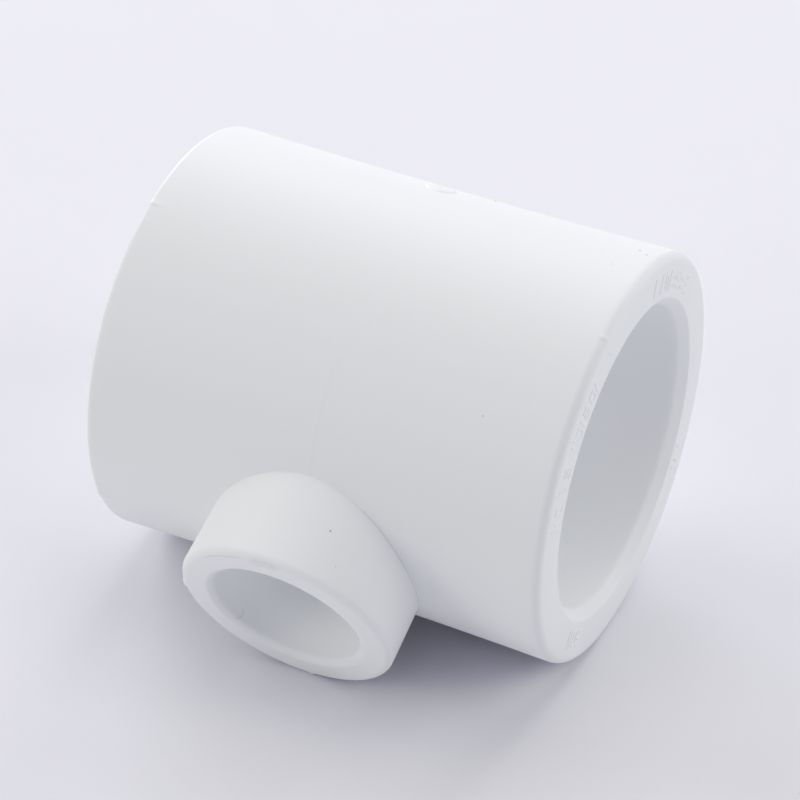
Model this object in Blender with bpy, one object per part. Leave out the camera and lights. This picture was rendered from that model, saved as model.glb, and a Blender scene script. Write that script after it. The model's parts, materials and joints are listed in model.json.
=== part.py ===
"""A reducing pipe tee: one plastic moulding with two equal pipe sockets on its run and a smaller
socket on its branch.

The run lies along X and the branch points towards -Y. The tee is at rest on a flat surface at
z = 0, on the run's two ends and on the rim of the branch, so the branch slopes down. The origin is
the centre of the footprint. Everything is in metres, with +Z up.
"""

import math

import bmesh
import bpy
from mathutils import Matrix

MM = 0.001

# The run: a barrel, slightly waisted as thick mouldings are, with the same socket in each end
RUN_HALF_LENGTH = 49.65 * MM
RUN_OUTER_RADIUS = 43.0 * MM  # at its ends, where it is widest
RUN_WAIST = 0.5 * MM  # how much less its radius is in the middle
RUN_WAIST_POWER = 2.5  # the barrel is nearly straight in the middle and flares at its ends
RUN_LEFT_EDGE_RADIUS = 1.15 * MM
RUN_RIGHT_EDGE_RADIUS = 1.9 * MM
RUN_LEAD_IN_RADIUS = 33.85 * MM  # where the lead-in cone meets the end face
RUN_LEAD_IN_DEPTH = 2.0 * MM
RUN_SOCKET_MOUTH_RADIUS = 31.7 * MM
RUN_SOCKET_ROOT_RADIUS = 31.2 * MM
RUN_SOCKET_DEPTH = 27.5 * MM
RUN_WATERWAY_RADIUS = 24.5 * MM

# The branch: its lengths are measured along its own axis, from the run's axis
BRANCH_FACE_DISTANCE = 56.35 * MM
BRANCH_OUTER_RADIUS = 23.0 * MM
BRANCH_TAPER = math.radians(1.15)  # the outside narrows towards the run
BRANCH_EDGE_RADIUS = 1.6 * MM
BRANCH_LEAD_IN_RADIUS = 17.2 * MM
BRANCH_LEAD_IN_DEPTH = 0.9 * MM
BRANCH_SOCKET_MOUTH_RADIUS = 15.9 * MM
BRANCH_SOCKET_ROOT_RADIUS = 15.5 * MM
BRANCH_SOCKET_DEPTH = 18.0 * MM
BRANCH_WATERWAY_RADIUS = 12.0 * MM

RUN_SIDES = 96
BRANCH_SIDES = 64
EDGE_STEPS = 4  # flats across a rounded edge
WAIST_STEPS = 6  # flats along each half of the barrel
CUTTER_OVERRUN = 2.0 * MM  # how far a cutter stands out of the face that it enters
SMOOTH_ANGLE = math.radians(30)
WELD_DISTANCE = 1e-7

PLASTIC_COLOR = (0.88, 0.89, 0.90, 1.0)
PLASTIC_ROUGHNESS = 0.45


def clear_scene():
    for obj in list(bpy.data.objects):
        bpy.data.objects.remove(obj)


def rounded_end(end, radius, edge):
    """Profile points from the barrel's side round its edge to its end face."""
    points = []
    for step in range(EDGE_STEPS + 1):
        angle = math.radians(90) * step / EDGE_STEPS
        along = end - edge + edge * math.sin(angle)
        points.append((along, radius - edge + edge * math.cos(angle)))
    return points


def bore_end(face, lead_radius, lead_depth, mouth_radius, root_radius, depth, waterway_radius):
    """Profile points of one socket, from the waterway out through the lead-in and past the face."""
    lead_slope = (lead_radius - mouth_radius) / lead_depth
    return [
        (face - depth, waterway_radius),
        (face - depth, root_radius),
        (face - lead_depth, mouth_radius),
        (face + CUTTER_OVERRUN, lead_radius + lead_slope * CUTTER_OVERRUN),
    ]


def mirrored(points):
    return [(-along, radius) for along, radius in reversed(points)]


def turned(name, profile, sides):
    """A solid turned about X from (along, radius) points that run towards +X, with both ends capped."""
    shape = bmesh.new()
    corners = [(profile[0][0], 0.0), *profile, (profile[-1][0], 0.0)]
    verts = [shape.verts.new((along, 0.0, radius)) for along, radius in corners]
    edges = [shape.edges.new(pair) for pair in zip(verts, verts[1:])]
    bmesh.ops.spin(
        shape,
        geom=verts + edges,
        cent=(0, 0, 0),
        axis=(1, 0, 0),
        angle=math.tau,
        steps=sides,
        use_merge=True,
    )
    bmesh.ops.remove_doubles(shape, verts=shape.verts, dist=WELD_DISTANCE)
    bmesh.ops.recalc_face_normals(shape, faces=shape.faces)
    mesh = bpy.data.meshes.new(name)
    shape.to_mesh(mesh)
    shape.free()
    obj = bpy.data.objects.new(name, mesh)
    bpy.context.scene.collection.objects.link(obj)
    return obj


def waisted_side():
    """Profile points of the barrel's side, without its two ends."""
    reach = RUN_HALF_LENGTH - RUN_RIGHT_EDGE_RADIUS
    points = []
    for step in range(1 - WAIST_STEPS, WAIST_STEPS):
        share = step / WAIST_STEPS
        narrower = RUN_WAIST * (1 - abs(share) ** RUN_WAIST_POWER)
        points.append((reach * share, RUN_OUTER_RADIUS - narrower))
    return points


def run_barrel():
    left = rounded_end(RUN_HALF_LENGTH, RUN_OUTER_RADIUS, RUN_LEFT_EDGE_RADIUS)
    right = rounded_end(RUN_HALF_LENGTH, RUN_OUTER_RADIUS, RUN_RIGHT_EDGE_RADIUS)
    return turned("tee_body", mirrored(left) + waisted_side() + right, RUN_SIDES)


def run_bore():
    end = bore_end(
        RUN_HALF_LENGTH,
        RUN_LEAD_IN_RADIUS,
        RUN_LEAD_IN_DEPTH,
        RUN_SOCKET_MOUTH_RADIUS,
        RUN_SOCKET_ROOT_RADIUS,
        RUN_SOCKET_DEPTH,
        RUN_WATERWAY_RADIUS,
    )
    return turned("run_bore_cutter", mirrored(end) + end, RUN_SIDES)


def towards_branch(obj):
    """Turns a shape made along +X so that it points along the branch, -Y."""
    obj.data.transform(Matrix.Rotation(math.radians(-90), 4, "Z"))
    return obj


def branch_boss():
    """The branch's outside, from inside the run's wall to its own rounded end."""
    start = 0.5 * RUN_OUTER_RADIUS
    narrowing = math.tan(BRANCH_TAPER) * (BRANCH_FACE_DISTANCE - start)
    end = rounded_end(BRANCH_FACE_DISTANCE, BRANCH_OUTER_RADIUS, BRANCH_EDGE_RADIUS)
    root = (start, BRANCH_OUTER_RADIUS - narrowing)
    return towards_branch(turned("branch_boss", [root, *end], BRANCH_SIDES))


def branch_bore():
    end = bore_end(
        BRANCH_FACE_DISTANCE,
        BRANCH_LEAD_IN_RADIUS,
        BRANCH_LEAD_IN_DEPTH,
        BRANCH_SOCKET_MOUTH_RADIUS,
        BRANCH_SOCKET_ROOT_RADIUS,
        BRANCH_SOCKET_DEPTH,
        BRANCH_WATERWAY_RADIUS,
    )
    root = (0.0, BRANCH_WATERWAY_RADIUS)
    return towards_branch(turned("branch_bore_cutter", [root, *end], BRANCH_SIDES))


def combine(body, tool, operation):
    """Joins the tool to the body or cuts it out of it, and removes the tool."""
    boolean = body.modifiers.new(tool.name, "BOOLEAN")
    boolean.operation = operation
    boolean.solver = "EXACT"
    boolean.object = tool
    graph = bpy.context.evaluated_depsgraph_get()
    body.data = bpy.data.meshes.new_from_object(body.evaluated_get(graph))
    body.modifiers.remove(boolean)
    bpy.data.objects.remove(tool)


def resting_tilt():
    """How far the branch slopes down when the run's ends and the branch's rim touch a flat surface."""
    along = BRANCH_FACE_DISTANCE - BRANCH_EDGE_RADIUS
    across = BRANCH_OUTER_RADIUS - BRANCH_EDGE_RADIUS
    height = RUN_OUTER_RADIUS - BRANCH_EDGE_RADIUS
    return math.asin(height / math.hypot(along, across)) - math.atan2(across, along)


def branch_reach(tilt):
    """How far the sloping branch stands out from the run's axis along -Y."""
    along = BRANCH_FACE_DISTANCE - BRANCH_EDGE_RADIUS
    across = BRANCH_OUTER_RADIUS - BRANCH_EDGE_RADIUS
    return along * math.cos(tilt) + across * math.sin(tilt) + BRANCH_EDGE_RADIUS


def lay_down(body):
    """Tilts the tee to its rest and centres its footprint on the origin."""
    tilt = resting_tilt()
    body.rotation_euler = (tilt, 0, 0)
    body.location = (0, (branch_reach(tilt) - RUN_OUTER_RADIUS) / 2, RUN_OUTER_RADIUS)


def white_plastic():
    material = bpy.data.materials.new("white_plastic")
    material.use_nodes = True
    shader = material.node_tree.nodes["Principled BSDF"]
    shader.inputs["Base Color"].default_value = PLASTIC_COLOR
    shader.inputs["Roughness"].default_value = PLASTIC_ROUGHNESS
    shader.inputs["Metallic"].default_value = 0.0
    material.diffuse_color = PLASTIC_COLOR
    return material


def main():
    clear_scene()
    body = run_barrel()
    combine(body, branch_boss(), "UNION")
    combine(body, run_bore(), "DIFFERENCE")
    combine(body, branch_bore(), "DIFFERENCE")
    body.data.name = body.name
    body.data.shade_smooth()
    body.data.set_sharp_from_angle(angle=SMOOTH_ANGLE)
    body.data.materials.clear()
    body.data.materials.append(white_plastic())
    lay_down(body)


main()
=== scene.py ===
import json
import math

import bmesh
import bpy
from mathutils import Matrix, Vector, geometry, noise


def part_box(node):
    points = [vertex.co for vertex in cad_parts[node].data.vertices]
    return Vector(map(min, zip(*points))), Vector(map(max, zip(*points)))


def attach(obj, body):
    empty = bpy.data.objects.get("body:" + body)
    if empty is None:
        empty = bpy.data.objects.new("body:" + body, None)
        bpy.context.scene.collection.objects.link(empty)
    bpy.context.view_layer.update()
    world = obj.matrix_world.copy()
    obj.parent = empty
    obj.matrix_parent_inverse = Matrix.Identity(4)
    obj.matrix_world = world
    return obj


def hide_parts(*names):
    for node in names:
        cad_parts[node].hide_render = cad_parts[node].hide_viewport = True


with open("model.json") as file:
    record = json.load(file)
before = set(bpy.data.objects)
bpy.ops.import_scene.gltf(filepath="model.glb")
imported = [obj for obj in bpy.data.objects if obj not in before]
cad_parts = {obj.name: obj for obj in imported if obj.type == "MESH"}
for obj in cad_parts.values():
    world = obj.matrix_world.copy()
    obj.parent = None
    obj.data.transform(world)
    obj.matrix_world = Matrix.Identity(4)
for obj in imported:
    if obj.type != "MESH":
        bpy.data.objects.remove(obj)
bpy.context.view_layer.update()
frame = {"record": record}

# The tee is built in its own axes, in metres: the run lies along X and the branch points along -Y.
# A place round the run is its angle from the branch's direction towards +Z, and a place round the
# branch is its angle from +X towards +Z. The finished skin is then laid down in the row frame.
MM = 0.001
DEG = math.radians(1)

mounts = {mount["name"]: mount for mount in frame["record"]["mounts"]}
box_low, box_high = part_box("tee_body")
branch_axis = mounts["branch_face"]["axis"]

# The run, from the frame, and its sockets
FACE = (box_high.x - box_low.x) / 2  # from the middle to each end face
RADIUS = (box_high.z - box_low.z) / 2  # at its ends, where it is widest
WAIST = 0.5 * MM  # how much less its radius is in the middle
WAIST_POWER = 2.5  # nearly straight in the middle, and flaring at the ends
EDGE = 1.9 * MM
LEFT_EDGE = 1.15 * MM
TEE_PLACE = (0, mounts["run_face_right"]["pos_m"][1], RADIUS)
TEE_TILT = math.atan2(-branch_axis[2], -branch_axis[1])  # how far the branch slopes down
LEAD_IN_RADIUS = 33.8 * MM
LEAD_IN_DEPTH = 2.0 * MM
MOUTH_RADIUS = 31.7 * MM
ROOT_RADIUS = 31.2 * MM
SHOULDER = FACE - 27.5 * MM
WATERWAY_RADIUS = 24.5 * MM
BARREL_END = FACE - EDGE - 1.0 * MM  # where the barrel's grid gives way to the rounded rim
WATERWAY_END = SHOULDER - 1.5 * MM  # and the waterway's grid to the socket

# The branch: lengths are measured along it from the run's axis
BRANCH_FACE = 56.35 * MM
BRANCH_RADIUS = 23.0 * MM
BRANCH_TAPER = math.tan(1.15 * DEG)
BRANCH_EDGE = 1.6 * MM
BRANCH_LEAD_IN_RADIUS = 17.2 * MM
BRANCH_LEAD_IN_DEPTH = 0.9 * MM
BRANCH_MOUTH_RADIUS = 15.9 * MM
BRANCH_ROOT_RADIUS = 15.5 * MM
BRANCH_SHOULDER = BRANCH_FACE - 18.0 * MM
BRANCH_WATERWAY_RADIUS = 12.0 * MM
BRANCH_TUBE_END = BRANCH_FACE - BRANCH_EDGE - 1.0 * MM
BRANCH_WATERWAY_END = BRANCH_SHOULDER - 1.5 * MM
CREASE = 0.2 * MM  # how far the rounding where it meets the run reaches each way

# How the surface is divided
SIDE_STEP = 1.5 * DEG
PATCH_SIDES = 40.5 * DEG  # the branch's patch on the run, each way round from the branch
PATCH_LENGTH = 30 * MM  # and each way along the run
INNER_PATCH_LENGTH = 16 * MM
ARC_STEP = 11 * DEG
SUPPORT = 0.3 * MM  # a line of points this close to a rounded edge keeps the flat beside it flat

# What the mould left on the run
SEAM_STEP = 0.028 * MM  # the skin stands this much proud on the left of the seam
SEAM_SLOPE = 0.08 * MM  # half the width of the step down at the seam
SEAM_FADE = 0.9 * MM  # how fast the proud side falls back to the rest of the skin
SEAM_SIDE = 46 * DEG  # where round the run the seam is plainest
NIB_SIDE = 91.25 * DEG  # where both end rims carry a nib
NIB_HEIGHT = 0.18 * MM
FLASH_SIDE = -2.5 * DEG  # where the left rim's flash ends
FLASH_HEIGHT = 0.32 * MM
GATE_PLACE = (-1.0 * MM, 137.5 * DEG)
GATE_RADIUS = 3.3 * MM
PIP_PLACE = (9.0 * MM, 143.75 * DEG)
PIP_RADIUS = 0.8 * MM
PIP_HEIGHT = 0.5 * MM

# What the mould and handling left on the branch's rim, and where round the branch each is
BRANCH_NIB_SIDE = 179 * DEG
BRANCH_NIB_HEIGHT = 0.35 * MM
BRANCH_FLASH_SIDE = -85 * DEG
BRANCH_FLASH_HEIGHT = 0.28 * MM
RUBBED_SIDE = 92 * DEG  # a rough, rubbed patch
RUBBED_RADIUS = 21.2 * MM
SHADED_LIP_SIDE = 119 * DEG  # a low lip along the rim's edge, whose shade is painted as a dark line
SHADED_LIP_RADIUS = BRANCH_RADIUS - 1.45 * MM
CURL_PLACE = (BRANCH_FACE - 2.0 * MM, 213.5 * DEG)  # a curl of flash in the branch's mouth, shown only by its painted shade
CURL_RADIUS = 1.4 * MM

# Raised marks round the right end face
MARK_RADIUS = 37.4 * MM  # to the middle of each mark
MARK_HEIGHT = 4.2 * MM
MARK_STROKE = 0.5 * MM
MARK_RISE = 0.15 * MM
MARK_DRAFT = 0.07 * MM  # how much wider a stroke is at its foot than at its top

# The dark specks that show in the plastic. On the run: how far along it in
# millimetres, degrees round from the branch, size in millimetres and depth. On the branch:
# millimetres from the run's axis, degrees round from +X, size and depth. On the right end face:
# radius, degrees, size and depth.
RUN_SPECKS = ((44, 131, 0.34, 0.8), (46, 129, 0.32, 0.7), (42, 118, 0.24, 0.35), (32, 62, 0.22, 0.55))
BRANCH_SPECKS = ((45, 68, 0.26, 1.0), (51, 58, 0.26, 0.3))
FACE_SPECKS = ((38, 91, 0.24, 0.5), (39, 90, 0.24, 0.4))

PLASTIC_COLOR = (0.907, 0.921, 0.935)
PLASTIC_ROUGHNESS = 0.5
PLASTIC_SPECULAR = 0.3
FLOOR_COLOR = (0.849, 0.841, 0.893)
FLOOR_ROUGHNESS = 0.9
FLOOR_SPECULAR = 0.2
FLOOR_RADIUS = 1.45
BACKDROP_COLOR = (0.68, 0.68, 0.72)

# The camera, as seen from the middle of the tee and in the tee's own axes: degrees from the front
# towards the right, degrees up, how far off it is, and its small shift to its own right and up
CAMERA_AZIMUTH = 36.954
CAMERA_ELEVATION = 56.618
CAMERA_ROLL = -14.84 * DEG
CAMERA_DISTANCE = 684.6 * MM
CAMERA_ASIDE = -0.357 * MM
CAMERA_RISE = -1.908 * MM
CAMERA_LENS = 150.6


def side_angles():
    """Angles of the lines that run along the barrel, closer together at the nibs and the flash."""
    fine = (0.2, 0.45, 0.8)
    angles = [SIDE_STEP * i for i in range(round(math.tau / SIDE_STEP))]
    for centre in (NIB_SIDE, FLASH_SIDE % math.tau):
        angles += [centre + side * offset * DEG for offset in fine for side in (-1, 1)]
    return sorted(angles)


SIDES = side_angles()


def side_index(angle):
    """The line nearest to the angle. It's below zero for an angle below zero."""
    turns = math.floor(angle / math.tau + 1e-9)
    rest = angle - turns * math.tau
    nearest = min(range(len(SIDES)), key=lambda i: abs(SIDES[i] - rest))
    return nearest + turns * len(SIDES)


def side_angle(index):
    return SIDES[index % len(SIDES)] + math.tau * (index // len(SIDES))


class Skin:
    """The body's surface while it is being built: its points, and its faces as lists of them."""

    def __init__(self):
        self.points = []
        self.faces = []

    def add(self, points):
        first = len(self.points)
        self.points.extend(points)
        return list(range(first, len(self.points)))

    def bridge(self, ring, other):
        """Quads between two closed rings of as many points."""
        for k in range(len(ring)):
            after = (k + 1) % len(ring)
            self.faces.append((ring[k], ring[after], other[after], other[k]))

    def bridge_on(self, ring, points):
        """Quads from a closed ring to a new one, which is returned."""
        current = self.add(points)
        self.bridge(ring, current)
        return current

    def close(self, ring, centre):
        """Triangles from a closed ring to one new point."""
        middle = self.add([centre])[0]
        for k in range(len(ring)):
            self.faces.append((ring[k], ring[(k + 1) % len(ring)], middle))


# Shapes along a line ------------------------------------------------------------------------


def spaced(start, end, step):
    """Evenly spaced numbers from start to end, both included, about a step apart."""
    count = max(1, round(abs(end - start) / step))
    return [start + (end - start) * i / count for i in range(count + 1)]


def both_ways(distances):
    """The distances, once each side of zero, in order."""
    return [-d for d in reversed(distances)] + [0.0] + list(distances)


def stations(patch, end):
    """Places along the run: fine at the seam, even across the branch's patch, then to the ends."""
    share = patch / PATCH_LENGTH
    seam = [d * MM for d in (0.07, 0.2, 0.45, 0.75, 1.1, 1.5)]
    near = seam + spaced(2 * MM, 5 * MM, 0.5 * MM) + spaced(6 * MM, PATCH_LENGTH, 1.25 * MM)
    return both_ways([d * share for d in near] + spaced(patch, end, 2 * MM)[1:])


def arc_points(centre, arm, turn):
    """Points along an arc that starts at centre + arm and turns by the angle."""
    steps = max(2, math.ceil(abs(turn) / ARC_STEP))
    points = []
    for i in range(steps + 1):
        cos, sin = math.cos(turn * i / steps), math.sin(turn * i / steps)
        points.append(centre + Vector((arm.x * cos - arm.y * sin, arm.x * sin + arm.y * cos)))
    return points


def rounded_path(corners, step):
    """(along, radius) points through corners that are each (along, radius, rounding).

    A corner becomes an arc with a support point on either side, and long stretches are divided.
    """
    bends = [Vector(corners[0][:2])]
    for before, corner, after in zip(corners, corners[1:], corners[2:]):
        here, rounding = Vector(corner[:2]), corner[2]
        back = (Vector(before[:2]) - here).normalized()
        on = (Vector(after[:2]) - here).normalized()
        half = back.angle(on) / 2
        cut = rounding / math.tan(half)
        centre = here + (back + on).normalized() * rounding / math.sin(half)
        first, last = here + back * cut - centre, here + on * cut - centre
        turn = math.copysign(math.pi - 2 * half, first.cross(last))
        bends.append(here + back * (cut + SUPPORT))
        bends += arc_points(centre, first, turn)
        bends.append(here + on * (cut + SUPPORT))
    bends.append(Vector(corners[-1][:2]))
    path = [bends[0]]
    for bend in bends[1:]:
        start, pieces = path[-1], max(1, round((bend - path[-1]).length / step))
        path.extend(start.lerp(bend, i / pieces) for i in range(1, pieces + 1))
    return path


# Points on the moulding ---------------------------------------------------------------------


def bump(offset, width):
    """A smooth hump, 1 in the middle and gone at the width."""
    share = min(1.0, abs(offset) / width)
    return (1 - share * share) ** 2


def angle_from(angle, other):
    """The difference of two angles, between -180 and 180 degrees."""
    return (angle - other + math.pi) % math.tau - math.pi


def seam_relief(along, angle):
    """How far the skin stands out beside the seam, where the mould's halves don't quite match."""
    step = SEAM_STEP * (0.2 + 0.8 * bump(angle_from(angle, SEAM_SIDE), 34 * DEG))
    if along > SEAM_SLOPE:
        return 0.0
    if along > -SEAM_SLOPE:
        return step * (SEAM_SLOPE - along) / (2 * SEAM_SLOPE)
    return step * math.exp((along + SEAM_SLOPE) / SEAM_FADE)


def skin_relief(along, angle):
    """How far the barrel stands out from its largest radius: less than zero along its waist."""
    share = min(1.0, abs(along) / (FACE - EDGE))
    return seam_relief(along, angle) - WAIST * (1 - share**WAIST_POWER)


def on_run(radius, along, arc, out=0.0):
    """A point on a cylinder about the run's axis, arc metres round from the branch."""
    angle = arc / radius
    reach = radius + out
    return (along, -reach * math.cos(angle), reach * math.sin(angle))


def on_branch(radius, distance, angle):
    """A point round the branch's axis, at a distance from the run's axis."""
    return (radius * math.cos(angle), -distance, radius * math.sin(angle))


def branch_radius(distance):
    return BRANCH_RADIUS - BRANCH_TAPER * (BRANCH_FACE - distance)


def rim_relief(side, angle, along):
    """How far flash and a nib stand out of an end rim of the run."""
    from_rim = along - (FACE - EDGE - 0.2 * MM)
    if from_rim < 0:
        return 0.0
    fade = min(1.0, from_rim / (0.6 * MM))
    nib = NIB_HEIGHT * bump(angle_from(angle, NIB_SIDE), 0.8 * DEG)
    if side > 0:
        return fade * nib
    round_on = angle_from(angle, FLASH_SIDE)
    flash = 0.0
    if round_on > 0:
        flash = min(1.0, round_on / (0.6 * DEG)) * max(0.0, 1 - round_on / (9 * DEG))
    return fade * (nib + FLASH_HEIGHT * flash)


def branch_rim_relief(angle, distance, radius):
    """Flash, a nib and a rough patch on the branch's rim, and a low lip along its edge."""
    if distance < BRANCH_FACE - BRANCH_EDGE - 0.2 * MM or radius < BRANCH_LEAD_IN_RADIUS:
        return 0.0
    outer = max(0.0, min(1.0, (radius - 20.5 * MM) / (1.5 * MM)))
    nib = BRANCH_NIB_HEIGHT * bump(angle_from(angle, BRANCH_NIB_SIDE), 3 * DEG) * outer
    flash = BRANCH_FLASH_HEIGHT * bump(angle_from(angle, BRANCH_FLASH_SIDE), 2.5 * DEG) * outer
    rough = bump(angle_from(angle, RUBBED_SIDE), 9 * DEG)
    grain = noise.noise(Vector((radius, distance, angle * radius)) / (0.7 * MM))
    on_line = bump(angle_from(angle, SHADED_LIP_SIDE), 17 * DEG)
    line = bump(radius - SHADED_LIP_RADIUS, 0.3 * MM)
    return nib + flash + 0.09 * MM * rough * grain + 0.07 * MM * on_line * line


# The run -------------------------------------------------------------------------------------


def window_loop(first, last, low, high):
    """A window's border, once round, as (station, side) numbers."""
    loop = [(last, side) for side in range(low, high)]
    loop += [(station, high) for station in range(last, first, -1)]
    loop += [(first, side) for side in range(high, low, -1)]
    loop += [(station, low) for station in range(first, last)]
    return loop


def barrel(skin, radius, places, windows, relief):
    """A cylinder about X as a grid of quads, open at both ends and at each window.

    A window is (start, end, lowest side, highest side), as lengths and angles. It returns the two
    end rings and each window's border, as a list of (point, along, arc).
    """
    count = len(SIDES)
    spans = []
    for start, end, low, high in windows:
        near = [min(range(len(places)), key=lambda i: abs(places[i] - at)) for at in (start, end)]
        spans.append((*near, side_index(low), side_index(high)))
    points, holes = {}, set()
    hidden = set()
    for first, last, low, high in spans:
        holes |= {(i, j % count) for i in range(first, last) for j in range(low, high)}
        hidden |= {(i, j % count) for i in range(first + 1, last) for j in range(low + 1, high)}
    for i, along in enumerate(places):
        for j in range(count):
            if (i, j) not in hidden:
                point = on_run(radius, along, radius * SIDES[j], relief(along, SIDES[j]))
                points[i, j] = skin.add([point])[0]
    for i in range(len(places) - 1):
        for j in range(count):
            if (i, j) not in holes:
                after = (j + 1) % count
                here, on = points[i, j], points[i, after]
                skin.faces.append((here, on, points[i + 1, after], points[i + 1, j]))
    borders = []
    for span in spans:
        loop = window_loop(*span)
        borders.append([(points[i, j % count], places[i], radius * side_angle(j)) for i, j in loop])
    ends = [[points[i, j] for j in range(count)] for i in (0, len(places) - 1)]
    return ends, borders


def patch(skin, radius, border, targets, layers, grading, relief):
    """Layers of quads on the cylinder, from a window's border in to a ring of (along, arc) places."""
    ring = [point for point, _, _ in border]
    for layer in range(1, layers + 1):
        share = 1 - (1 - layer / layers) ** grading
        points = []
        for (_, along, arc), (to_along, to_arc) in zip(border, targets):
            here = along + (to_along - along) * share
            round_here = arc + (to_arc - arc) * share
            points.append(on_run(radius, here, round_here, relief(here, round_here / radius)))
        ring = skin.bridge_on(ring, points)
    return ring


def raised_spot(skin, border, place, size, height_at):
    """A round spot on the barrel whose height is height_at(share of its radius, angle)."""
    middle_along, middle_arc = place[0], RADIUS * place[1]
    turns = [math.atan2(arc - middle_arc, along - middle_along) for _, along, arc in border]

    def ring_at(share):
        return [
            (middle_along + size * share * math.cos(t), middle_arc + size * share * math.sin(t))
            for t in turns
        ]

    ring = patch(skin, RADIUS, border, ring_at(1.06), 4, 1.2, skin_relief)
    for share in (1.0, 0.95, 0.88, 0.78, 0.66, 0.53, 0.4, 0.27, 0.14):
        points = []
        for turn, (along, arc) in zip(turns, ring_at(share)):
            out = height_at(share, turn) + skin_relief(along, arc / RADIUS)
            points.append(on_run(RADIUS, along, arc, out))
        ring = skin.bridge_on(ring, points)
    middle_out = height_at(0, 0) + skin_relief(middle_along, place[1])
    skin.close(ring, on_run(RADIUS, middle_along, middle_arc, middle_out))


def gate_height(share, turn):
    """The torn-off gate: a low rough disc with a raised lip and a stub left of its middle."""
    spot = Vector((share * math.cos(turn), share * math.sin(turn), 0.3))
    disc = min(1.0, (1 - share) / 0.14)
    lip = 0.16 * bump(share - 0.82, 0.2)
    stub = 0.35 * bump((spot.xy - Vector((-0.15, -0.1))).length, 0.45)
    grain = 0.14 * noise.noise(spot * 4.0)
    return MM * disc * (0.16 + lip + stub + grain)


def pip_height(share, turn):
    return PIP_HEIGHT * bump(share, 1.0)


def run_end(skin, side, ring):
    """One end of the run, from the barrel round the rim and down the socket to the waterway."""
    corners = [
        (BARREL_END, RADIUS + skin_relief(BARREL_END, 0), 0),
        (FACE, RADIUS, EDGE if side > 0 else LEFT_EDGE),
        (FACE, LEAD_IN_RADIUS, 0.35 * MM),
        (FACE - LEAD_IN_DEPTH, MOUTH_RADIUS, 1.4 * MM),
        (SHOULDER, ROOT_RADIUS, 0.5 * MM),
        (SHOULDER, WATERWAY_RADIUS, 0.4 * MM),
        (WATERWAY_END, WATERWAY_RADIUS, 0),
    ]
    path = rounded_path(corners, 3 * MM)[1:]
    flat = [i for i, (along, _) in enumerate(path) if abs(along - FACE) < 1e-9]
    for i, (along, radius) in enumerate(path):
        if side > 0 and flat[0] < i < flat[-1]:
            continue
        points = []
        for angle in SIDES:
            out = rim_relief(side, angle, along) if radius > LEAD_IN_RADIUS + EDGE else 0.0
            points.append(on_run(radius, side * along, radius * angle, out))
        if side > 0 and i == flat[-1]:
            ring = marked_face(skin, ring, points)
        else:
            ring = skin.bridge_on(ring, points)
    return ring


# The marks on the right end face --------------------------------------------------------------


def loop_of(middle, width, height, grow):
    """A rectangle with rounded corners, in millimetres, grown all round."""
    x, y = width / 2 + grow, height / 2 + grow
    corner = min(x, y) * 0.6
    points = []
    for quarter, (sx, sy) in enumerate(((1, 1), (-1, 1), (-1, -1), (1, -1))):
        for step in range(4):
            turn = (quarter + step / 3) * math.pi / 2
            at = Vector((sx * (x - corner), sy * (y - corner)))
            points.append(middle + at + corner * Vector((math.cos(turn), math.sin(turn))))
    return points


def mark_shapes(kind):
    """A mark as (middle, width, height, 1 for a solid or -1 for a hole), in millimetres."""
    stroke, tall = MARK_STROKE / MM, MARK_HEIGHT / MM
    if kind == "bar":
        return [(Vector((0, 0)), stroke, tall, 1)]
    if kind == "bars":
        return [(Vector((x, 0)), stroke, tall, 1) for x in (-0.65, 0.65)]
    if kind == "step":
        return [
            (Vector((-0.7, -0.5)), stroke, tall - 1.0, 1),
            (Vector((0.55, 0.3)), stroke, tall - 0.6, 1),
        ]
    if kind == "frame":
        return [
            (Vector((0, 0)), 2.3, tall - 0.6, 1),
            (Vector((0, 0)), 2.3 - 2 * stroke, tall - 0.6 - 2 * stroke, -1),
        ]
    if kind == "rungs":
        return [(Vector((0, y)), 2.1, stroke, 1) for y in (-1.5, 0, 1.5)]
    if kind == "pips":
        return [(Vector((0, y)), 0.8, 0.8, 1) for y in (-1.6, 0, 1.6)]
    return [(Vector((x, y)), 0.8, 0.8, 1) for x in (-0.8, 0.8) for y in (-1.1, 0.5)]


# Each mark's angle in degrees from +Z towards the branch, and its kind
MARKS = (
    (53.5, "step"), (48.0, "frame"), (42.2, "pips"), (36.7, "rungs"),
    (28.3, "bars"), (24.6, "frame"), (21.6, "bar"), (18.2, "rungs"), (13.0, "frame"), (10.0, "bar"),
    (126.0, "rungs"), (121.5, "frame"), (117.0, "bars"),
    (219.0, "step"), (211.5, "dice"),
    (324.3, "bar"), (318.4, "bar"), (314.2, "step"), (310.6, "bar"),
    (305.5, "dice"), (301.0, "rungs"), (296.5, "dice"), (292.0, "pips"),
)


def placed(points, turn):
    """Points of a mark in its own millimetres, put at an angle on the end face as (y, z)."""
    outward = Vector((-math.sin(turn), math.cos(turn)))
    across = Vector((-math.cos(turn), -math.sin(turn)))
    return [outward * (MARK_RADIUS + p.y * MM) + across * p.x * MM for p in points]


def mark_loops(grow):
    """Every outline on the end face, in order, at one height: grow widens the solid parts."""
    loops = []
    for degrees, kind in MARKS:
        for middle, width, height, solid in mark_shapes(kind):
            loops.append(placed(loop_of(middle, width, height, grow / MM * solid), degrees * DEG))
    return loops


def holds(loop, point):
    """Whether a closed loop goes round the point."""
    inside = False
    for a, b in zip(loop, loop[1:] + loop[:1]):
        if (a.y > point.y) != (b.y > point.y):
            if point.x < a.x + (point.y - a.y) * (b.x - a.x) / (b.y - a.y):
                inside = not inside
    return inside


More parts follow.
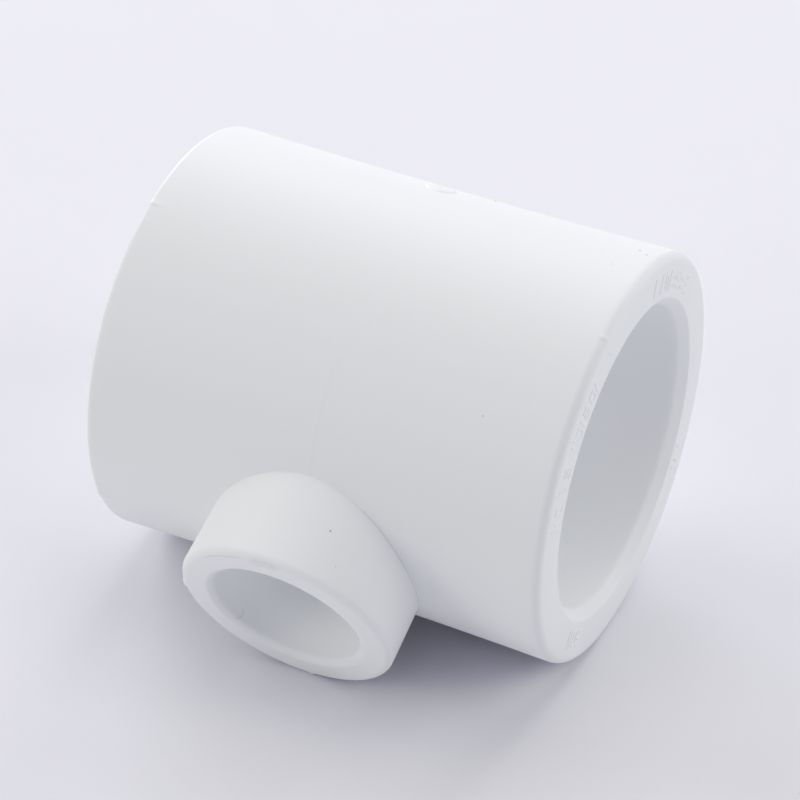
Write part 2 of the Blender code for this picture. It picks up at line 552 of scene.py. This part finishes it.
def filled(loops):
    """Triangles between loops, as numbers into their joined points, and each one's middle."""
    points, edges = [], []
    for loop in loops:
        first = len(points)
        points += [p / MM for p in loop]
        edges += [(first + k, first + (k + 1) % len(loop)) for k in range(len(loop))]
    out, _, faces, origins, _, _ = geometry.delaunay_2d_cdt(points, edges, [], 0, 1e-6)
    for face in faces:
        middle = sum((out[i] for i in face), Vector((0, 0))) / 3 * MM
        yield [origins[i][0] for i in face], middle


def marked_face(skin, outer, inner_points):
    """The right end face, flat from the outer ring to a new inner one, with its marks raised."""
    inner = skin.add(inner_points)
    rims = [[Vector(skin.points[i][1:]) for i in ring] for ring in (outer, inner)]
    low, high = mark_loops(MARK_DRAFT / 2), mark_loops(-MARK_DRAFT / 2)
    low_rings = [skin.add([(FACE, p.x, p.y) for p in loop]) for loop in low]
    high_rings = [skin.add([(FACE + MARK_RISE, p.x, p.y) for p in loop]) for loop in high]
    for ring, raised in zip(low_rings, high_rings):
        skin.bridge(ring, raised)
    numbers = outer + inner + [i for ring in low_rings for i in ring]
    for corners, middle in filled(rims + low):
        if holds(rims[1], middle) or not holds(rims[0], middle):
            continue
        if sum(holds(loop, middle) for loop in low) % 2 == 0:
            skin.faces.append([numbers[i] for i in corners])
    numbers = [i for ring in high_rings for i in ring]
    for corners, middle in filled(high):
        if sum(holds(loop, middle) for loop in high) % 2 == 1:
            skin.faces.append([numbers[i] for i in corners])
    return inner


# The branch ------------------------------------------------------------------------------------


def crease(barrel_radius, relief, radius_at, angles, blend, steps):
    """The rounded crease where a tube along -Y meets the run's outside or its waterway.

    It returns the (along, arc) places where it starts on the run, the rings of points across it,
    and how far from the run's axis each line leaves it.
    """
    places, rings, leaves = [], [[] for _ in range(steps)], []
    for angle in angles:
        distance = barrel_radius
        for _ in range(8):
            radius = radius_at(distance)
            reach = barrel_radius + relief(radius * math.cos(angle), 0)
            distance = math.sqrt(reach**2 - (radius * math.sin(angle)) ** 2)
        corner = Vector(on_branch(radius_at(distance), distance, angle))
        flat = Vector((corner.x, barrel_radius * math.asin(corner.z / reach)))
        flat += flat.normalized() * blend
        out = relief(flat.x, flat.y / barrel_radius)
        start = Vector(on_run(barrel_radius, flat.x, flat.y, out))
        end = Vector(on_branch(radius_at(distance + blend), distance + blend, angle))
        for i, ring in enumerate(rings):
            share = (i + 1) / steps
            ring.append(tuple(start.lerp(corner, share).lerp(corner.lerp(end, share), share)))
        places.append((flat.x, flat.y))
        leaves.append(distance + blend)
    return places, rings, leaves


def tube_rings(skin, ring, angles, leaves, end, radius_at, shares):
    """Rings up a tube, from the places where its lines leave the crease to a flat ring at its end."""
    for share in shares:
        points = []
        for angle, leave in zip(angles, leaves):
            distance = leave + (end - leave) * share
            points.append(on_branch(radius_at(distance), distance, angle))
        ring = skin.bridge_on(ring, points)
    return ring


def branch_outside(skin, border, angles):
    """The branch from its patch on the run to just short of its rim."""
    places, rings, leaves = crease(RADIUS, skin_relief, branch_radius, angles, CREASE, 4)
    ring = patch(skin, RADIUS, border, places, 14, 1.6, skin_relief)
    for points in rings:
        ring = skin.bridge_on(ring, points)
    shares = (0.03, 0.1, 0.2, 0.3, 0.4, 0.5, 0.6, 0.7, 0.8, 0.9, 1.0)
    return tube_rings(skin, ring, angles, leaves, BRANCH_TUBE_END, branch_radius, shares)


def branch_socket(skin, ring, angles):
    """The branch's rim, its face, and its socket down to the waterway."""
    corners = [
        (BRANCH_TUBE_END, branch_radius(BRANCH_TUBE_END), 0),
        (BRANCH_FACE, BRANCH_RADIUS, BRANCH_EDGE),
        (BRANCH_FACE, BRANCH_LEAD_IN_RADIUS, 1.1 * MM),
        (BRANCH_FACE - BRANCH_LEAD_IN_DEPTH, BRANCH_MOUTH_RADIUS, 1.2 * MM),
        (BRANCH_SHOULDER, BRANCH_ROOT_RADIUS, 0.5 * MM),
        (BRANCH_SHOULDER, BRANCH_WATERWAY_RADIUS, 0.4 * MM),
        (BRANCH_WATERWAY_END, BRANCH_WATERWAY_RADIUS, 0),
    ]
    for distance, radius in rounded_path(corners, 1.2 * MM)[1:]:
        points = []
        for angle in angles:
            out = branch_rim_relief(angle, distance, radius)
            points.append(on_branch(radius + out * 0.7, distance + out * 0.7, angle))
        ring = skin.bridge_on(ring, points)
    return ring


def no_relief(along, angle):
    return 0.0


def waterways(skin, angles, ends, neck):
    """The run's waterway between its two sockets, and the branch's opening into it."""
    places = stations(INNER_PATCH_LENGTH, WATERWAY_END)
    window = (-INNER_PATCH_LENGTH, INNER_PATCH_LENGTH, -PATCH_SIDES, PATCH_SIDES)
    (left, right), (border,) = barrel(skin, WATERWAY_RADIUS, places, [window], no_relief)
    skin.bridge(ends[0], left)
    skin.bridge(right, ends[1])

    def bore_radius(distance):
        return BRANCH_WATERWAY_RADIUS

    targets, rings, leaves = crease(WATERWAY_RADIUS, no_relief, bore_radius, angles, 0.5 * MM, 4)
    ring = patch(skin, WATERWAY_RADIUS, border, targets, 8, 1.3, no_relief)
    for points in rings:
        ring = skin.bridge_on(ring, points)
    shares = (0.05, 0.2, 0.4, 0.6, 0.8)
    ring = tube_rings(skin, ring, angles, leaves, BRANCH_WATERWAY_END, bore_radius, shares)
    skin.bridge(ring, neck)


def build_skin():
    """The moulding's whole surface, closed, in the tee's own axes."""
    skin = Skin()
    windows = [
        (-PATCH_LENGTH, PATCH_LENGTH, -PATCH_SIDES, PATCH_SIDES),
        (-6 * MM, 4 * MM, 132 * DEG, 144 * DEG),
        (7 * MM, 11 * MM, 141 * DEG, 147 * DEG),
    ]
    places = stations(PATCH_LENGTH, BARREL_END)
    (left, right), borders = barrel(skin, RADIUS, places, windows, skin_relief)
    raised_spot(skin, borders[1], GATE_PLACE, GATE_RADIUS, gate_height)
    raised_spot(skin, borders[2], PIP_PLACE, PIP_RADIUS, pip_height)
    angles = [math.atan2(arc, along) for _, along, arc in borders[0]]
    rim = branch_outside(skin, borders[0], angles)
    neck = branch_socket(skin, rim, angles)
    ends = run_end(skin, -1, left), run_end(skin, 1, right)
    waterways(skin, angles, ends, neck)
    return skin


def mesh_object(name, skin):
    mesh = bpy.data.meshes.new(name)
    mesh.from_pydata(skin.points, [], skin.faces)
    shape = bmesh.new()
    shape.from_mesh(mesh)
    bmesh.ops.remove_doubles(shape, verts=shape.verts, dist=1e-7)
    bmesh.ops.recalc_face_normals(shape, faces=shape.faces)
    shape.to_mesh(mesh)
    shape.free()
    mesh.shade_smooth()
    mesh.set_sharp_from_angle(angle=35 * DEG)
    obj = bpy.data.objects.new(name, mesh)
    bpy.context.scene.collection.objects.link(obj)
    return obj


def tee_to_row():
    """From the tee's own axes to the row frame."""
    return Matrix.Translation(TEE_PLACE) @ Matrix.Rotation(TEE_TILT, 4, "X")


class Nodes:
    """Short ways to add the few kinds of shader node that the plastic and the floor use."""

    def __init__(self, material):
        material.use_nodes = True
        self.tree = material.node_tree
        self.shader = self.tree.nodes["Principled BSDF"]
        self.place = self.tree.nodes.new("ShaderNodeTexCoord").outputs["Object"]

    def use_tee_axes(self):
        """From here on, places are in the tee's own axes."""
        node = self.tree.nodes.new("ShaderNodeMapping")
        node.vector_type = "TEXTURE"
        self.put(self.place, node.inputs["Vector"])
        node.inputs["Location"].default_value = TEE_PLACE
        node.inputs["Rotation"].default_value = (TEE_TILT, 0, 0)
        self.place = node.outputs[0]

    def math(self, operation, first, second):
        node = self.tree.nodes.new("ShaderNodeMath")
        node.operation = operation
        for socket, value in zip(node.inputs, (first, second)):
            self.put(value, socket)
        return node.outputs[0]

    def product(self, *values):
        result = values[0]
        for value in values[1:]:
            result = self.math("MULTIPLY", result, value)
        return result

    def most(self, *values):
        """The largest of the values."""
        result = values[0]
        for value in values[1:]:
            result = self.math("MAXIMUM", result, value)
        return result

    def length(self, first, second):
        squares = [self.math("MULTIPLY", value, value) for value in (first, second)]
        return self.math("SQRT", self.math("ADD", *squares), 0)

    def coordinates(self):
        """The place's x, y and z."""
        node = self.tree.nodes.new("ShaderNodeSeparateXYZ")
        self.put(self.place, node.inputs[0])
        return node.outputs

    def put(self, value, socket):
        if isinstance(value, (int, float)):
            socket.default_value = value
        else:
            self.tree.links.new(value, socket)

    def fade(self, value, full, gone):
        """1 where the value is below full, falling to 0 where it is gone."""
        node = self.tree.nodes.new("ShaderNodeMapRange")
        node.interpolation_type = "SMOOTHSTEP"
        self.put(value, node.inputs["Value"])
        node.inputs["From Min"].default_value = full
        node.inputs["From Max"].default_value = gone
        node.inputs["To Min"].default_value = 1.0
        node.inputs["To Max"].default_value = 0.0
        return node.outputs[0]

    def distance(self, point):
        node = self.tree.nodes.new("ShaderNodeVectorMath")
        node.operation = "DISTANCE"
        self.put(self.place, node.inputs[0])
        node.inputs[1].default_value = point
        return node.outputs["Value"]

    def near(self, point, reach):
        return self.fade(self.distance(point), reach * 0.5, reach)

    def band(self, value, centre, width):
        """1 along the line where the value is at the centre, gone half the width away."""
        offset = self.math("ABSOLUTE", self.math("SUBTRACT", value, centre), 0)
        return self.fade(offset, width * 0.2, width * 0.5)

    def noise(self, size, detail):
        node = self.tree.nodes.new("ShaderNodeTexNoise")
        self.put(self.place, node.inputs["Vector"])
        node.inputs["Scale"].default_value = 1 / size
        node.inputs["Detail"].default_value = detail
        return node.outputs["Fac"]

    def tint(self, color, darker, amount):
        """The colour, made this much darker where the amount is 1."""
        node = self.tree.nodes.new("ShaderNodeMix")
        node.data_type = "RGBA"
        self.put(amount, node.inputs["Factor"])
        node.inputs[6].default_value = (*color, 1)
        node.inputs[7].default_value = (*[channel * darker for channel in color], 1)
        return node.outputs[2]

    def raise_by(self, height, reach):
        """Bumps the surface by the height, as a share of the reach in metres."""
        node = self.tree.nodes.new("ShaderNodeBump")
        node.inputs["Distance"].default_value = reach
        self.put(height, node.inputs["Height"])
        self.put(node.outputs["Normal"], self.shader.inputs["Normal"])


def speck_places():
    """Each speck's point on the tee, its size and its depth."""
    for along, degrees, size, depth in RUN_SPECKS:
        out = skin_relief(along * MM, degrees * DEG)
        yield on_run(RADIUS, along * MM, RADIUS * degrees * DEG, out), size, depth
    for distance, degrees, size, depth in BRANCH_SPECKS:
        radius = branch_radius(distance * MM)
        yield on_branch(radius, distance * MM, degrees * DEG), size, depth
    for radius, degrees, size, depth in FACE_SPECKS:
        yield on_run(radius * MM, FACE, radius * MM * degrees * DEG), size, depth


def branch_wear_and_shade(nodes):
    """How dark the branch is: painted shade of a lip along its rim's edge, a rubbed patch on its rim,
    the painted shade of a curl of flash in its mouth, and painted shade in the right side of the
    crease where it meets the run."""
    x, y, z = nodes.coordinates()
    radius = nodes.length(x, z)
    # Painted shade of the low lip along the rim's edge: a thin dark line
    on_line = nodes.band(radius, SHADED_LIP_RADIUS, 0.5 * MM)
    by_line = nodes.near(on_branch(SHADED_LIP_RADIUS, BRANCH_FACE, SHADED_LIP_SIDE), 6.5 * MM)
    lip_shade = nodes.product(on_line, by_line, 0.3)
    on_rim = nodes.band(radius, RUBBED_RADIUS, 3.2 * MM)
    rubbed = nodes.near(on_branch(RUBBED_RADIUS, BRANCH_FACE, RUBBED_SIDE), 4.0 * MM)
    grain = nodes.fade(nodes.noise(0.35 * MM, 2), 0.4, 0.6)
    rub = nodes.product(on_rim, rubbed, grain, 0.25)
    # The curl of flash is drawn as its painted shade: a dark curved line on one side of a ring
    distance, side = CURL_PLACE
    from_curl = nodes.distance(on_branch(BRANCH_MOUTH_RADIUS, distance, side))
    on_curl = nodes.band(from_curl, CURL_RADIUS, 0.4 * MM)
    shown_side = on_branch(BRANCH_MOUTH_RADIUS, distance + 0.4 * MM, side + 7 * DEG)
    curl_shade = nodes.product(on_curl, nodes.near(shown_side, 2.4 * MM), 0.22)
    # Painted shade in the crease where the branch meets the run, on its right side
    by_branch = nodes.band(radius, branch_radius(40 * MM), 0.7 * MM)
    by_run = nodes.band(nodes.length(y, z), RADIUS - WAIST, 0.7 * MM)
    right_side = nodes.near(on_branch(BRANCH_RADIUS, 38 * MM, 20 * DEG), 24 * MM)
    crease_shade = nodes.product(by_branch, by_run, right_side, 0.12)
    return nodes.most(lip_shade, rub, curl_shade, crease_shade)


def white_plastic():
    """Satin white, with a few dark specks in it, wear and painted shade on the branch, and painted
    shade along the seam.
    """
    material = bpy.data.materials.new("white_plastic")
    nodes = Nodes(material)
    nodes.use_tee_axes()
    specks = [
        nodes.product(nodes.near(place, size * MM), depth) for place, size, depth in speck_places()
    ]
    x, y, z = nodes.coordinates()
    # A faint dark line painted along the seam: painted shade standing in for the shading of its step
    seam_shade_reach = nodes.near(on_run(RADIUS, 0, RADIUS * SEAM_SIDE), 15 * MM)
    seam = nodes.product(nodes.band(x, 0.1 * MM, 0.55 * MM), seam_shade_reach, 0.03)
    specks_wear_and_shade = nodes.most(branch_wear_and_shade(nodes), seam, *specks)
    nodes.put(nodes.tint(PLASTIC_COLOR, 0.4, specks_wear_and_shade), nodes.shader.inputs["Base Color"])
    nodes.shader.inputs["Roughness"].default_value = PLASTIC_ROUGHNESS
    nodes.shader.inputs["Specular IOR Level"].default_value = PLASTIC_SPECULAR
    nodes.raise_by(nodes.noise(1.4 * MM, 2), 0.012 * MM)
    return material


def floor_material():
    """Pale paper with the faintest mottling."""
    material = bpy.data.materials.new("floor_paper")
    nodes = Nodes(material)
    mottled = nodes.tint(FLOOR_COLOR, 0.985, nodes.noise(18 * MM, 4))
    nodes.put(mottled, nodes.shader.inputs["Base Color"])
    nodes.shader.inputs["Roughness"].default_value = FLOOR_ROUGHNESS
    nodes.shader.inputs["Specular IOR Level"].default_value = FLOOR_SPECULAR
    return material


def add_floor():
    bpy.ops.mesh.primitive_circle_add(vertices=96, radius=FLOOR_RADIUS, fill_type="NGON")
    floor = bpy.context.object
    floor.name = "floor"
    floor.data.materials.append(floor_material())


def direction(azimuth, elevation):
    """A unit vector from degrees round from the front towards the right, and degrees up."""
    flat = math.cos(elevation * DEG)
    side, front = math.sin(azimuth * DEG), math.cos(azimuth * DEG)
    return Vector((side * flat, -front * flat, math.sin(elevation * DEG)))


def add_camera():
    """The camera, set out in the tee's own axes and then laid down with it."""
    back = direction(CAMERA_AZIMUTH, CAMERA_ELEVATION)
    level = (-back).cross(Vector((0, 0, 1))).normalized()
    above = level.cross(-back)
    right = level * math.cos(CAMERA_ROLL) + above * math.sin(CAMERA_ROLL)
    up = above * math.cos(CAMERA_ROLL) - level * math.sin(CAMERA_ROLL)
    turned = Matrix((right, up, back)).transposed().to_4x4()
    away = back * CAMERA_DISTANCE + right * CAMERA_ASIDE + up * CAMERA_RISE
    place = Matrix.Translation(away)
    camera = bpy.data.objects.new("camera", bpy.data.cameras.new("camera"))
    bpy.context.scene.collection.objects.link(camera)
    camera.data.lens = CAMERA_LENS
    camera.matrix_world = tee_to_row() @ place @ turned
    bpy.context.scene.camera = camera


# The light: eleven softboxes round the tee, each aimed at it, at one of three powers in watts. The
# key light is low at the back left, and cool. The fill comes from the left, back, right and top, and
# low from the front left, where it is warm, and from the back right. The other four are faint.
KEY = 11.0
FILL = 5.6
FAINT = 2.0
WHITE = (1.0, 1.0, 1.0)
COOL = (0.87, 0.88, 1.0)
WARM = (1.0, 0.98, 0.85)
SOFTBOX_DISTANCE = 1.6
LOW, HALF_UP, OVERHEAD = 14, 42, 80  # how many degrees up a softbox is
SOFTBOX_SIZES = {LOW: (0.8, 0.9), HALF_UP: (0.9, 0.9), OVERHEAD: (1.2, 1.2)}
# Each one's name, degrees from the front towards the right, degrees up, power and tint
SOFTBOXES = (
    ("key", 225, LOW, KEY, COOL),
    ("low_left_front", 315, LOW, FILL, WARM),
    ("low_right_back", 135, LOW, FILL, WHITE),
    ("low_right_front", 45, LOW, FAINT, COOL),
    ("left", 270, HALF_UP, FILL, WHITE),
    ("back", 180, HALF_UP, FILL, WHITE),
    ("right", 90, HALF_UP, FILL, WHITE),
    ("left_back", 225, HALF_UP, FAINT, WHITE),
    ("left_front", 315, HALF_UP, FAINT, COOL),
    ("front", 0, HALF_UP, FAINT, COOL),
    ("top", 180, OVERHEAD, FILL, WHITE),
)

# The camera's contrast, as (light in, light out): shadows darker, middle tones a little lighter
TONE_CURVE = ((0.05, 0.035), (0.2, 0.2), (0.3, 0.34), (0.5, 0.55), (0.7, 0.73))


def add_softbox(name, azimuth, elevation, watts, color):
    data = bpy.data.lights.new(name, "AREA")
    data.shape = "RECTANGLE"
    data.size, data.size_y = SOFTBOX_SIZES[elevation]
    data.energy = watts
    data.color = color
    away = direction(azimuth, elevation)
    light = bpy.data.objects.new(name, data)
    light.location = away * SOFTBOX_DISTANCE
    light.rotation_euler = away.to_track_quat("Z", "Y").to_euler()
    light.visible_camera = False
    bpy.context.scene.collection.objects.link(light)


def add_lights():
    world = bpy.data.worlds.new("studio")
    bpy.context.scene.world = world
    world.use_nodes = True
    backdrop = world.node_tree.nodes["Background"]
    backdrop.inputs["Color"].default_value = (*BACKDROP_COLOR, 1)
    backdrop.inputs["Strength"].default_value = 1.0
    # The backdrop shows past the floor's edge and lights nothing
    world.cycles_visibility.diffuse = False
    world.cycles_visibility.glossy = False
    world.cycles_visibility.transmission = False
    world.cycles_visibility.scatter = False
    for softbox in SOFTBOXES:
        add_softbox(*softbox)


def set_contrast():
    view = bpy.context.scene.view_settings
    view.view_transform = "Standard"
    view.use_curve_mapping = True
    combined = view.curve_mapping.curves[3]
    for light_in, light_out in TONE_CURVE:
        combined.points.new(light_in, light_out)
    view.curve_mapping.update()


def main():
    skin = build_skin()
    body = mesh_object("tee_moulding", skin)
    body.data.transform(tee_to_row())
    body.data.materials.append(white_plastic())
    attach(body, "root")
    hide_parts("tee_body")
    add_floor()
    add_camera()
    add_lights()
    set_contrast()


main()
